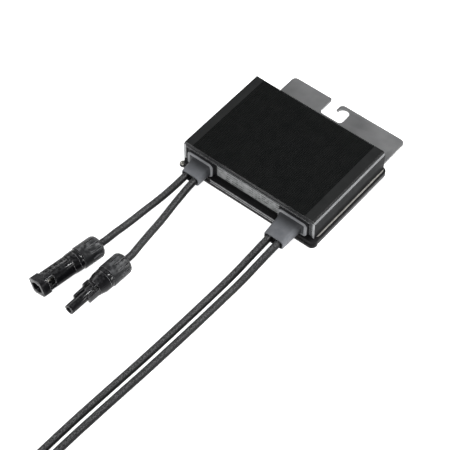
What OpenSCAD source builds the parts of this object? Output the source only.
// Module-level solar power converter: a ribbed heat-sink housing on a mounting bracket with a hook,
// two short input leads and two long output leads, each ending in a locking DC connector.
// The part lies on its flat base: +Z is up, +Y points to the bracket's hook, and the leads leave at -Y.

/* [Housing] */
// Width of the housing across its ribs
housing_w = 130.5; // [127:0.5:134]
// Depth of the housing along its ribs
housing_d = 90.5; // [88:0.5:100]
// Height of the housing above its base face
housing_h = 27.5; // [27:0.5:32]
// Thickness of the heat sink's side walls
wall_t = 2.2; // [1.8:0.1:3]
// Thickness of the heat sink's top plate, ribs included
top_t = 3.2; // [2.6:0.1:4]
// Distance from one rib to the next
rib_pitch = 1.6; // [1.5:0.05:1.7]
// Height of a rib
rib_h = 0.8; // [0.4:0.1:1.2]
// Number of ribs
rib_count = 70; // [40:1:70]

/* [Base] */
// How far the base tray stands out beyond the right wall
tray_side = 2.8; // [1:0.1:3.2]
// How far the base tray stands out in front of the housing
tray_lip = 4.7; // [4.2:0.1:5]
// Height of the tray's rim
tray_h = 6.2; // [6:0.1:6.3]
// Thickness of the bracket's sheet metal
bracket_t = 2; // [1.5:0.1:2]
// How far the bracket stands out behind the housing
bracket_reach = 38; // [36:0.5:45]
// Radius of the round pocket behind the bracket's hook
hook_r = 5; // [4:0.05:5.1]

/* [Leads] */
// Outside diameter of the leads
lead_d = 6; // [5:0.1:6]
// Height of the leads' axes where they leave the housing and enter the connectors
lead_z = 9.6; // [9.6:0.1:9.7]
// Distance between the two leads of a pair
lead_gap = 8.8; // [8.6:0.1:9]
// How far the input boot stands out in front of the housing
input_boot_l = 15.3; // [14:0.1:18]
// How far the output boot stands out in front of the housing
output_boot_l = 22.5; // [20:0.1:25]

/* [Connectors] */
// Radius of a connector's gland nut
nut_r = 9.4; // [9:0.1:9.4]
// Length of a connector's gland nut
nut_l = 19.6; // [18.5:0.1:19.6]
// Length of a whole connector
connector_l = 60.6; // [59:0.1:62]
// Radius of a contact pin
pin_r = 2; // [1.95:0.01:2]

/* [Hidden] */
$fn = 48;

// Housing planes
cover_x = -0.75;                         // the cover's middle lies a little left of the bracket's
left = cover_x - housing_w / 2;
right = cover_x + housing_w / 2;
half_d = housing_d / 2;
front = -half_d;
seal_t = 1;
cover_base = tray_h + seal_t;
inner_top = housing_h - top_t;
panel_t = 2;
panel_front = front + 0.85;              // front face of the recessed front panel
tray_corner_r = 4.5;
tray_left = left - 0.2;
tray_right = right + tray_side;
tray_front = front - tray_lip;
tray_back = half_d + 2;
tray_floor = 3.5;
lug_at = [left + 0.3, front - 2.25];     // middle of the ground screw's lug
lug_t = 1.6;
rib_start = -57;

// Rounded corner of the heat sink: a bead, then a bright bevel down to the wall
bead_r = 1.1;
bevel_in = 1;
bevel_low = housing_h - 3.3;
bevel_top = housing_h - 1.9;
flat_left = left + bevel_in + bead_r;
flat_right = right - bevel_in - bead_r;

// Screw channels in the heat sink's upper corners
channel_left = left + 5.6;
channel_right = right - 5.6;
channel_z = inner_top - 3.4;
channel_r = 2.8;
channel_in = 4.6;                        // how far a channel's web reaches into the side wall

// Circuit board
board_z = 6;
board_t = 1.6;
board_top = board_z + board_t;

// Boots
input_x = -47;
output_x = 42.2;
flange_top = 20.9;
flange_t = 2.5;

// Output coils: two layers of two turns, ring radii of the outer and the inner turn
coil_outer_r = 38.5;
coil_inner_r = 32.5;
coil_y = -416;
coil_a_x = -10;
coil_b_x = 75.5;
coil_low_z = 4.2;
coil_high_z = 10.2;
lead_r = lead_d / 2;

// Connector stations along its axis, from the nut's cable end to the tip
nut_round = 4;
contact_start = 19.1;
collar_z = nut_l + 0.6;
collar_l = 3.4;
nose_start = 28.6;                       // where the nose begins, in front of the shoulder
cavity_floor = 37.6;
spigot_r = 7.2;
spigot_bore = 5.6;
groove_count = 12;

// Where each connector's cable end lies, and how far it is turned about the vertical
input_a_at = [-58.5, -154.8, lead_z];
input_a_turn = -8.6;
input_a_roll = 25;                       // this body lies turned about its own axis
input_b_at = [-32.9, -154, lead_z];
input_b_turn = -2;
output_a_at = [coil_a_x - coil_outer_r, coil_y + 36, lead_z];
output_b_at = [coil_b_x + coil_outer_r, coil_y + 36, lead_z];
output_turn = 180;

// Routes of the leads, from their terminal to where they meet a connector or a coil
input_route_a = [[-51.4, -40, 9.6], [-51.4, -61, 9.6], [-51.4, -71, 9.4], [-51.9, -80, 8.7],
    [-52.6, -88, 8.1], [-53.4, -96, 7.8], [-54.2, -104, 7.8], [-54.8, -112.5, 8], [-55.3, -121, 8.4],
    [-55.9, -130, 9], [-56.7, -138.5, 9.5], [-57.3, -146.9, 9.6], [-58.9, -157.8, 9.6],
    [-60.3, -166.7, 9.6], [-61.4, -173.7, 9.6]];
input_route_b = [[-42.6, -40, 9.6], [-42.6, -61, 9.6], [-42.1, -70, 9.4], [-41.4, -78, 8.8],
    [-40.7, -86, 8.2], [-39.8, -93, 7.8], [-38.8, -100, 7.8], [-37.8, -107, 7.8], [-37, -114, 8],
    [-36.1, -121, 8.4], [-35.1, -128, 9], [-34.1, -135, 9.4], [-33.2, -141, 9.6], [-32.6, -146.5, 9.6],
    [-33, -157, 9.6], [-33.3, -166, 9.6], [-33.6, -173.1, 9.6]];
output_route_a = [[37.8, -40, 9.6], [37.8, -68, 9.5], [37.5, -80, 8.2], [37, -92, 6.2],
    [36.6, -104, 4.4], [36.2, -116, 3.4], [35.9, -128, 3.1], [35.5, -146, 3.1], [35, -164, 3.1],
    [34.4, -182, 3.1], [33.7, -200, 3.1], [32.9, -218, 3.1], [31.9, -236, 3.1], [30.9, -254, 3.1],
    [30, -272, 3.1], [29.3, -290, 3.1], [28.8, -310, 3.1], [28.5, -334, 3.1], [28.5, -362, 3.2],
    [28.5, -390, 3.8], [28.5, -416, 4.2]];
output_route_b = [[46.6, -40, 9.6], [46.6, -68, 9.5], [46.2, -80, 8.2], [45.7, -92, 6.2],
    [45.3, -104, 4.4], [44.9, -116, 3.4], [44.5, -128, 3.1], [44.1, -146, 3.1], [43.6, -164, 3.1],
    [43, -182, 3.1], [42.3, -200, 3.1], [41.5, -218, 3.1], [40.5, -236, 3.1], [39.5, -254, 3.1],
    [38.6, -272, 3.1], [37.8, -290, 3.1], [37.3, -310, 3.1], [37, -334, 3.1], [37, -362, 3.2],
    [37, -390, 3.8], [37, -416, 4.2]];
output_tail_a = [[-48.5, -416, 10.2], [-48.5, -407, 9.9], [-48.5, -396, 9.6], [-48.5, -360.9, 9.6]];
output_tail_b = [[114, -416, 10.2], [114, -407, 9.9], [114, -396, 9.6], [114, -360.9, 9.6]];

// ---------- shared shapes ----------

// Rectangle from low corner to high corner with rounded corners
module round_rect(low, high, r) {
    translate([low.x + r, low.y]) square([high.x - low.x - 2 * r, high.y - low.y]);
    translate([low.x, low.y + r]) square([high.x - low.x, high.y - low.y - 2 * r]);
    for (x = [low.x + r, high.x - r], y = [low.y + r, high.y - r]) translate([x, y]) circle(r);
}

// Box from low corner to high corner
module box(low, high) {
    translate(low) cube(high - low);
}

function unit(v) = v / norm(v);
function heading(p, i) = unit(p[min(i + 1, len(p) - 1)] - p[max(i - 1, 0)]);

// Closed tube with flat ends along a route that never turns vertical
module tube(route, r, sides = 10) {
    last = len(route) - 1;
    ring = [for (i = [0:last])
        let (t = heading(route, i), across = unit(cross([0, 0, 1], t)), over = cross(t, across))
        for (k = [0:sides - 1])
            route[i] + r * (cos(k * 360 / sides) * over + sin(k * 360 / sides) * across)];
    side = [for (i = [0:last - 1], k = [0:sides - 1])
        let (a = i * sides + k, b = i * sides + (k + 1) % sides)
        each [[a, b, b + sides], [a, b + sides, a + sides]]];
    start = [[for (k = [sides - 1:-1:0]) k]];
    end = [[for (k = [0:sides - 1]) last * sides + k]];
    polyhedron(points = ring, faces = concat(start, side, end), convexity = 6);
}

// Puts a connector, drawn along +Z with +Y up, at its place with its tip away from the cable
module place_connector(at, turn, roll = 0) {
    translate(at) rotate([0, 0, turn]) rotate([90, 0, 0]) rotate([0, 0, roll]) children();
}

// Hollow cylinder between two stations
module pipe(r_out, r_in, z0, z1) {
    translate([0, 0, z0]) difference() {
        cylinder(r = r_out, h = z1 - z0);
        translate([0, 0, -1]) cylinder(r = r_in, h = z1 - z0 + 2);
    }
}

// ---------- housing ----------

module cover_profile() {
    crest = housing_h;
    trough = crest - rib_h;
    bead_z = crest - bead_r;
    left_corner = [[left, cover_base], [left, bevel_low], [left + bevel_in, bevel_top],
        [left + bevel_in, bead_z], [flat_left, bead_z], [flat_left, crest]];
    ribs = [for (i = [0:rib_count - 1])
        let (x = rib_start + i * rib_pitch)
        each [[x, crest], [x + 0.15, trough], [x + 0.6, trough], [x + 0.75, crest]]];
    right_corner = [[flat_right, crest], [flat_right, bead_z], [right - bevel_in, bead_z],
        [right - bevel_in, bevel_top], [right, bevel_low], [right, cover_base]];
    inside = [[right - wall_t, cover_base], [right - wall_t, inner_top], [left + wall_t, inner_top],
        [left + wall_t, cover_base]];
    polygon(concat(left_corner, ribs, right_corner, inside));
    for (x = [flat_left, flat_right]) translate([x, bead_z]) circle(bead_r);
}

// Screw channel inside an upper corner, between the two end panels
module screw_channel_profile(x, web_left, web_right) {
    difference() {
        union() {
            translate([x, channel_z]) circle(channel_r);
            translate([min(x, web_left), channel_z - channel_r]) square([channel_in, 7]);
            translate([web_left, channel_z]) square([web_right - web_left, 4.2]);
        }
        translate([x, channel_z]) circle(1.2);
    }
}

module heatsink_cover() {
    color([0.07, 0.075, 0.08]) {
        translate([0, half_d, 0]) rotate([90, 0, 0]) linear_extrude(housing_d) cover_profile();
        translate([0, half_d - 3, 0]) rotate([90, 0, 0]) linear_extrude(housing_d - 6) {
            screw_channel_profile(channel_left, channel_left - channel_in, channel_left + channel_r);
            screw_channel_profile(channel_right, channel_right - channel_r, channel_right + channel_in);
        }
    }
}

module base_tray() {
    color([0.05, 0.05, 0.055]) difference() {
        union() {
            translate([0, 0, bracket_t]) linear_extrude(tray_h - bracket_t)
                round_rect([tray_left, tray_front + 0.8], [tray_right, tray_back], tray_corner_r);
            linear_extrude(3) intersection() {
                round_rect([tray_left, tray_front], [tray_right, tray_back], tray_corner_r);
                translate([tray_left - 1, tray_front - 1]) square([housing_w + 10, tray_lip + 2]);
            }
            translate([lug_at.x, lug_at.y, 0]) cylinder(r = 2.7, h = lug_t);
            box([lug_at.x - 1.2, lug_at.y, 0], [tray_left + 0.5, front + 2, lug_t]);
        }
        box([left + 3.5, front + 3.5, tray_floor], [right - 3.5, half_d - 3.5, tray_h + 1]);
        translate([lug_at.x, lug_at.y, -1]) cylinder(r = 1.2, h = 4);
        translate([lug_at.x, lug_at.y, lug_t]) cylinder(r = 2.6, h = tray_h);
        for (p = bracket_screw_places()) translate([p.x, p.y, bracket_t - 1]) cylinder(r = 1.1, h = 3);
        box([tray_left - 1, front + 1, -1], [tray_right + 1, tray_back + 1, bracket_t]);
    }
}

function bracket_screw_places() = [for (x = [-45, 45], y = [-30, 30]) [x, y]];

// Sheet-metal plate under the whole housing, with a tail and a hook behind it
module bracket_outline() {
    back = half_d + bracket_reach;
    slot_left = -14.6;
    slot_right = 6.9;
    slot_floor = half_d + 20;
    pocket = [slot_right - hook_r, half_d + 30.55];
    finger_left = slot_right - 2 * hook_r - 1.9;
    round_rect([tray_left + 0.2, front + 1.2], [tray_right - 0.5, tray_back - 0.5], 3);
    difference() {
        round_rect([-54.2, half_d - 10], [59, back], 4);
        difference() {
            round_rect([slot_left, slot_floor], [slot_right, back + 10], 3.2);
            intersection() {
                round_rect([finger_left, half_d], [slot_right + 20, back], 3.7);
                translate([finger_left - 1, pocket.y]) square([30, 20]);
            }
        }
        translate(pocket) circle(hook_r);
        translate([slot_left - 0.8, back - 1.5]) square([1.5, 2]);
    }
}

module mounting_bracket() {
    color([0.55, 0.55, 0.56]) difference() {
        linear_extrude(bracket_t) bracket_outline();
        for (p = bracket_screw_places()) translate([p.x, p.y, 0]) {
            translate([0, 0, -1]) cylinder(r = 1.4, h = bracket_t + 2);
            translate([0, 0, -0.01]) cylinder(r1 = 2.6, r2 = 1.4, h = 1.21);
        }
    }
}

module bracket_screws() {
    color([0.7, 0.7, 0.72]) for (p = bracket_screw_places()) translate([p.x, p.y, 0]) difference() {
        union() {
            translate([0, 0, 0.1]) cylinder(r1 = 2.38, r2 = 1.3, h = 1.1);
            translate([0, 0, 1.1]) cylinder(r = 1.05, h = 1.8);
        }
        rotate([0, 0, 30]) box([-1.5, -0.25, 0], [1.5, 0.25, 0.6]);
        rotate([0, 0, 120]) box([-1.5, -0.25, 0], [1.5, 0.25, 0.6]);
    }
}

// Holes for a pair of leads through an upright panel or flange
module lead_holes(centre_x, r, y0, y1) {
    for (x = [centre_x - lead_gap / 2, centre_x + lead_gap / 2])
        translate([x, y1, lead_z]) rotate([90, 0, 0]) cylinder(r = r, h = y1 - y0);
}

module front_panel() {
    color([0.06, 0.06, 0.07]) difference() {
        box([left + wall_t + 0.1, panel_front, tray_h],
            [right - wall_t - 0.1, panel_front + panel_t, inner_top - 0.1]);
        lead_holes(input_x, lead_r + 0.3, panel_front - 1, panel_front + panel_t + 1);
        lead_holes(output_x, lead_r + 0.3, panel_front - 1, panel_front + panel_t + 1);
    }
}

module rear_panel() {
    color([0.06, 0.06, 0.07]) difference() {
        box([left + wall_t + 0.1, half_d - 2.9, cover_base],
            [right - wall_t - 0.1, half_d - 0.9, inner_top - 0.1]);
        for (x = [channel_left, channel_right])
            translate([x, half_d, channel_z]) rotate([90, 0, 0]) cylinder(r = 1.4, h = 4);
    }
}

module rear_screws() {
    color([0.7, 0.7, 0.72]) for (x = [channel_left, channel_right])
        translate([x, half_d - 0.9, channel_z]) rotate([90, 0, 0]) {
            difference() {
                translate([0, 0, -1.5]) cylinder(r = 2.4, h = 1.5);
                for (turn = [0, 90]) rotate([0, 0, turn]) box([-1.5, -0.3, -2], [1.5, 0.3, -0.8]);
            }
            cylinder(r = 1.15, h = 8);
        }
}

module perimeter_seal() {
    color([0.62, 0.61, 0.58]) translate([0, 0, tray_h]) difference() {
        linear_extrude(seal_t)
            round_rect([left - 0.1, front + 3], [right + 0.8, half_d + 0.8], 3);
        box([left + 3.5, front - 5, -1], [right - 3.5, half_d - 3.5, 3]);
        box([left - 2, front - 5, -1], [left + wall_t, front + 3.5, 3]);
    }
}

// Seal bar over the boots with one leg beside the output boot
module front_gasket() {
    color([0.3, 0.3, 0.32]) {
        box([left + 3, front - 0.6, 22.4], [right - 5, panel_front, inner_top - 0.4]);
        box([right - 5, front, cover_base + 1.5], [right - 2.6, panel_front, inner_top - 0.4]);
    }
}

// Aluminium edge rail on the tray's lip, with a groove along it
module front_rail() {
    color([0.6, 0.6, 0.6]) difference() {
        box([-35.6, tray_front + 0.1, 3.05], [29.8, tray_front + 0.8, tray_h]);
        box([-36, tray_front - 0.1, 4.1], [30, tray_front + 0.5, 5.2]);
    }
}

module label_plate() {
    color([0.5, 0.51, 0.52]) box([-32.4, panel_front - 0.4, 9.8], [29.6, panel_front, 22]);
}

module ground_screw() {
    color([0.72, 0.72, 0.7]) translate([lug_at.x, lug_at.y, 0]) difference() {
        union() {
            translate([0, 0, 0.2]) cylinder(r = 1.15, h = 1.5);
            translate([0, 0, lug_t]) rotate_extrude() intersection() {
                union() {
                    square([2.3, 0.9]);
                    translate([0, -1.4]) circle(3.2);
                }
                square([2.3, 3]);
            }
        }
        for (turn = [20, 110]) translate([0, 0, 2.6]) rotate([0, 0, turn])
            box([-1.3, -0.28, 0], [1.3, 0.28, 2]);
    }
}

// ---------- boots ----------

// One station of a boot's body: a thin slab with rounded corners
module boot_slab(x, y, low, high, width) {
    translate([0, y, 0]) rotate([90, 0, 0]) linear_extrude(0.2)
        round_rect([x - width / 2, low], [x + width / 2, high], 3.4, $fn = 32);
}

module boot(holes_x, x, flange_low_x, flange_high_x, reach, root_w, end_w) {
    flange_front = front - flange_t;
    color([0.42, 0.43, 0.45]) difference() {
        union() {
            translate([0, panel_front, 0]) rotate([90, 0, 0]) linear_extrude(panel_front - flange_front)
                round_rect([flange_low_x, tray_h], [flange_high_x, flange_top], 3.5);
            hull() {
                boot_slab(x, flange_front + 0.1, tray_h, flange_top - 2.6, root_w);
                boot_slab(x, flange_front - 3, tray_h - 0.4, flange_top - 4.6, root_w - 2);
            }
            hull() {
                boot_slab(x, flange_front - 3, tray_h - 0.4, flange_top - 4.6, root_w - 2);
                boot_slab(x, front - reach + 0.2, 4.7, 14.4, end_w);
            }
        }
        lead_holes(holes_x, lead_r + 0.3, front - reach - 1, panel_front + 1);
    }
}

module input_boot() {
    boot(input_x, input_x, -60.6, -35.1, input_boot_l, 20, 17.4);
}

module output_boot() {
    boot(output_x, output_x + 0.2, 30.5, 58.4, output_boot_l, 22.3, 18.8);
}

// ---------- electronics ----------

function standoff_places() = [[-25, -34], [25, -34], [-54, 34], [54, 34]];

module circuit_board() {
    color([0.05, 0.3, 0.12]) difference() {
        box([-58, -38, board_z], [58, 38, board_top]);
        for (p = standoff_places()) translate([p.x, p.y, board_z - 1]) cylinder(r = 1.3, h = board_t + 2);
    }
}

module board_standoffs() {
    color([0.75, 0.7, 0.5]) for (p = standoff_places()) translate([p.x, p.y, 0])
        pipe(2.5, 1.1, tray_floor, board_z);
}

module board_screws() {
    color([0.7, 0.7, 0.72]) for (p = standoff_places()) translate([p.x, p.y, 0]) {
        translate([0, 0, board_top]) cylinder(r = 2.2, h = 1.4);
        translate([0, 0, tray_floor + 0.3]) cylinder(r = 1.05, h = board_top - tray_floor);
    }
}

module potting_layer() {
    color([0.12, 0.12, 0.13]) difference() {
        box([-60, -41, tray_floor], [60, 41, board_z]);
        for (p = standoff_places()) translate([p.x, p.y, 0]) cylinder(r = 2.5, h = 10);
    }
}

module inductor_core() {
    color([0.2, 0.2, 0.21]) translate([8, 4, board_top]) {
        cylinder(r = 15, h = 2.5);
        cylinder(r = 5, h = 14);
        translate([0, 0, 11.5]) cylinder(r = 15, h = 2.5);
    }
}

module inductor_winding() {
    color([0.72, 0.4, 0.2]) translate([8, 4, board_top]) pipe(13.5, 5.1, 2.6, 11.4);
}

module input_capacitors() {
    color([0.75, 0.75, 0.7]) for (i = [0:2])
        box([-52 + i * 9, -24, board_top], [-44.5 + i * 9, -8, board_top + 12]);
}

module output_capacitors() {
    color([0.15, 0.15, 0.4]) for (x = [34, 44], y = [-20, -9])
        translate([x, y, board_top]) cylinder(r = 4.2, h = 13);
}

module power_transistors() {
    color([0.1, 0.1, 0.1]) for (x = [-50, -38, -26, -14])
        box([x, 20, board_top], [x + 9, 30, board_top + 2.4]);
}

module controller_chip() {
    color([0.1, 0.1, 0.11]) box([32, 16, board_top], [44, 28, board_top + 1.6]);
}

module comm_transformer() {
    color([0.25, 0.22, 0.15]) box([-32, 2, board_top], [-18, 14, board_top + 10]);
}

module thermal_pad() {
    color([0.55, 0.6, 0.75]) box([-6, -10, board_top + 14], [22, 18, inner_top]);
}

// Solder blocks that the leads end against
module terminal_pair(centre_x) {
    for (x = [centre_x - lead_gap / 2, centre_x + lead_gap / 2])
        box([x - 3.6, -40, board_top], [x + 3.6, -31, board_top + 6]);
}

module input_terminals() {
    color([0.8, 0.78, 0.7]) terminal_pair(input_x);
}

module output_terminals() {
    color([0.8, 0.78, 0.7]) terminal_pair(output_x);
}

// ---------- leads and coils ----------

module input_lead_a() {
    color([0.12, 0.12, 0.13]) tube(input_route_a, lead_r);
}

module input_lead_b() {
    color([0.12, 0.12, 0.13]) tube(input_route_b, lead_r);
}

module output_lead_a() {
    color([0.12, 0.12, 0.13]) {
        tube(output_route_a, lead_r);
        tube(output_tail_a, lead_r);
    }
}

module output_lead_b() {
    color([0.12, 0.12, 0.13]) {
        tube(output_route_b, lead_r);
        tube(output_tail_b, lead_r);
    }
}

// Outer shape of one coil
module coil_ring(x) {
    color([0.12, 0.12, 0.13]) translate([x, coil_y, 0]) rotate_extrude($fn = 72)
        round_rect([coil_inner_r - lead_r, coil_low_z - lead_r],
            [coil_outer_r + lead_r, coil_high_z + lead_r], 2.4);
}

module output_coil_a() {
    coil_ring(coil_a_x);
}

module output_coil_b() {
    coil_ring(coil_b_x);
}

// Two bands round each coil
module coil_ties() {
    low = [coil_inner_r - lead_r - 0.1, coil_low_z - lead_r - 0.1];
    high = [coil_outer_r + lead_r + 0.1, coil_high_z + lead_r + 0.1];
    color([0.1, 0.1, 0.1]) for (x = [coil_a_x, coil_b_x], turn = [222, 312])
        translate([x, coil_y, 0]) rotate([0, 0, turn]) rotate_extrude(angle = 6.5) difference() {
            translate(low - [1, 1]) square(high - low + [2, 2]);
            translate(low) square(high - low);
        }
}

// ---------- connectors, drawn along +Z from the nut's cable end to the tip ----------

module gland_nut() {
    color([0.2, 0.21, 0.22]) difference() {
        rotate_extrude() difference() {
            union() {
                translate([0, nut_round]) square([nut_r, nut_l - nut_round]);
                square([nut_r - nut_round, nut_l]);
                translate([nut_r - nut_round, nut_round]) circle(nut_round);
            }
            translate([-20, -5]) square([20, 40]);
        }
        translate([0, 0, -1]) cylinder(r = lead_r + 0.4, h = 6);
        translate([0, 0, 2.2]) cylinder(r = spigot_r + 0.3, h = nut_l);
        for (i = [0:groove_count - 1]) rotate([0, 0, (i + 0.5) * 360 / groove_count])
            box([nut_r - 1, -0.7, 2.6], [nut_r + 1, 0.7, 12.5]);
    }
}

module collet() {
    color([0.6, 0.6, 0.58]) difference() {
        union() {
            translate([0, 0, 2.6]) cylinder(r = 6.9, h = 1.8);
            translate([0, 0, 4]) cylinder(r = spigot_bore - 0.3, h = 5);
        }
        cylinder(r = lead_r + 0.4, h = 12);
        for (turn = [0, 60, 120]) rotate([0, 0, turn]) box([-8, -0.4, 5.2], [8, 0.4, 10]);
    }
}

module seal_ring() {
    color([0.35, 0.35, 0.36]) pipe(spigot_bore - 0.02, lead_r + 0.1, 11, 18);
}

// Threaded spigot, collar and shoulder that both connector bodies share
module body_rear(shoulder_r, shoulder_start, shoulder_end) {
    translate([0, 0, 5]) cylinder(r = spigot_r, h = collar_z - 5);
    translate([0, 0, collar_z]) cylinder(r = 8.8, h = collar_l);
    translate([0, 0, collar_z + collar_l]) cylinder(r = 8.7, h = shoulder_start - collar_z - collar_l);
    translate([0, 0, shoulder_start]) cylinder(r1 = 8.7, r2 = shoulder_r, h = shoulder_end - shoulder_start);
}

module body_rear_bore() {
    translate([0, 0, 4]) cylinder(r = spigot_bore, h = contact_start - 4);
    translate([0, 0, contact_start - 1]) cylinder(r = 2.65, h = cavity_floor - contact_start + 1.01);
}

// Squarish barrel with its corners cut back to a circle
module barrel(half, corner_r, round_r, z0, z1) {
    translate([0, 0, z0]) intersection() {
        cylinder(r = round_r, h = z1 - z0);
        linear_extrude(z1 - z0) round_rect(-half, half, corner_r);
    }
}

// Receiving connector: a squarish shell with latch windows round the pin
module shell_body() {
    mouth_start = connector_l - 7.2;
    window = [connector_l - 13, connector_l - 6.8];
    color([0.05, 0.05, 0.06]) difference() {
        union() {
            body_rear(8.3, nose_start - 1.2, nose_start + 0.6);
            barrel([7.9, 6.6], 4.2, 9.1, nose_start, connector_l - 1);
            barrel([8.3, 7], 3, 9.6, mouth_start, connector_l);
            box([-2.8, 5, nose_start + 2], [2.8, 7.5, mouth_start]);
        }
        body_rear_bore();
        translate([0, 0, cavity_floor]) cylinder(r = 4.7, h = 30);
        translate([0, 0, cavity_floor + 4]) linear_extrude(30) round_rect([-6.1, -3.3], [6.1, 3.3], 1);
        box([-10, -4.4, window[0]], [-4.9, 5.6, window[1]]);
        box([4.9, -4.4, window[0]], [10, 5.6, window[1]]);
        for (i = [0:3]) translate([0, 0, nose_start + 4 + i * 4.8]) box([-1.7, 6.7, 0], [1.7, 9, 3.8]);
    }
}

// Entering connector: a long tube round the socket, with a strong and a thin latch arm
module tube_body() {
    step_end = nose_start + 5;
    color([0.07, 0.07, 0.075]) difference() {
        union() {
            body_rear(7.2, nose_start - 1, step_end - 0.4);
            translate([0, 0, step_end - 0.5]) cylinder(r = 7.2, h = 0.5);
            translate([0, 0, step_end - 1]) cylinder(r = 4.15, h = connector_l - step_end + 1);
            box([4, -3, step_end - 1], [6, 3, step_end + 10.8]);
            box([-5.6, -3, step_end - 1], [-4, 3, step_end + 16.6]);
            box([-7.6, -3, step_end - 1], [-5.5, 3, step_end + 5]);
            box([-1.6, 3.5, step_end - 1], [1.6, 5.3, step_end + 8]);
            box([-3.2, 5, step_end - 2], [3.2, 7, step_end + 2.5]);
        }
        body_rear_bore();
        translate([0, 0, cavity_floor]) cylinder(r = 2.65, h = 30);
        translate([0, 0, step_end + 0.6]) rotate_extrude() translate([3.65, 0]) square([1.65, 1.6]);
    }
}

module contact_pin() {
    color([0.75, 0.72, 0.65]) {
        translate([0, 0, contact_start]) cylinder(r = 2.6, h = cavity_floor - contact_start);
        translate([0, 0, cavity_floor - 0.5]) cylinder(r = pin_r, h = 16);
        translate([0, 0, cavity_floor + 15.5]) cylinder(r1 = pin_r, r2 = pin_r - 0.7, h = 1);
    }
}

module contact_socket() {
    color([0.75, 0.72, 0.65]) difference() {
        translate([0, 0, contact_start]) cylinder(r = 2.6, h = connector_l - 2.3 - contact_start);
        translate([0, 0, connector_l - 16.3]) cylinder(r = pin_r + 0.03, h = 20);
    }
}

module o_ring() {
    color([0.1, 0.1, 0.1]) translate([0, 0, nose_start + 6.4]) rotate_extrude()
        translate([4.42, 0]) circle(0.72, $fn = 24);
}

module input_a_body() { place_connector(input_a_at, input_a_turn, input_a_roll) shell_body(); }
module input_a_nut() { place_connector(input_a_at, input_a_turn) gland_nut(); }
module input_a_collet() { place_connector(input_a_at, input_a_turn) collet(); }
module input_a_seal() { place_connector(input_a_at, input_a_turn) seal_ring(); }
module input_a_pin() { place_connector(input_a_at, input_a_turn) contact_pin(); }

module input_b_body() { place_connector(input_b_at, input_b_turn) tube_body(); }
module input_b_nut() { place_connector(input_b_at, input_b_turn) gland_nut(); }
module input_b_collet() { place_connector(input_b_at, input_b_turn) collet(); }
module input_b_seal() { place_connector(input_b_at, input_b_turn) seal_ring(); }
module input_b_socket() { place_connector(input_b_at, input_b_turn) contact_socket(); }
module input_b_o_ring() { place_connector(input_b_at, input_b_turn) o_ring(); }

module output_a_body() { place_connector(output_a_at, output_turn) tube_body(); }
module output_a_nut() { place_connector(output_a_at, output_turn) gland_nut(); }
module output_a_collet() { place_connector(output_a_at, output_turn) collet(); }
module output_a_seal() { place_connector(output_a_at, output_turn) seal_ring(); }
module output_a_socket() { place_connector(output_a_at, output_turn) contact_socket(); }
module output_a_o_ring() { place_connector(output_a_at, output_turn) o_ring(); }

module output_b_body() { place_connector(output_b_at, output_turn) shell_body(); }
module output_b_nut() { place_connector(output_b_at, output_turn) gland_nut(); }
module output_b_collet() { place_connector(output_b_at, output_turn) collet(); }
module output_b_seal() { place_connector(output_b_at, output_turn) seal_ring(); }
module output_b_pin() { place_connector(output_b_at, output_turn) contact_pin(); }

heatsink_cover();
base_tray();
mounting_bracket();
front_panel();
rear_panel();
perimeter_seal();
front_gasket();
front_rail();
label_plate();
bracket_screws();
rear_screws();
ground_screw();
input_boot();
output_boot();
circuit_board();
board_standoffs();
board_screws();
potting_layer();
inductor_core();
inductor_winding();
input_capacitors();
output_capacitors();
power_transistors();
controller_chip();
comm_transformer();
thermal_pad();
input_terminals();
output_terminals();
input_lead_a();
input_lead_b();
output_lead_a();
output_lead_b();
output_coil_a();
output_coil_b();
coil_ties();
input_a_body();
input_a_nut();
input_a_collet();
input_a_seal();
input_a_pin();
input_b_body();
input_b_nut();
input_b_collet();
input_b_seal();
input_b_socket();
input_b_o_ring();
output_a_body();
output_a_nut();
output_a_collet();
output_a_seal();
output_a_socket();
output_a_o_ring();
output_b_body();
output_b_nut();
output_b_collet();
output_b_seal();
output_b_pin();
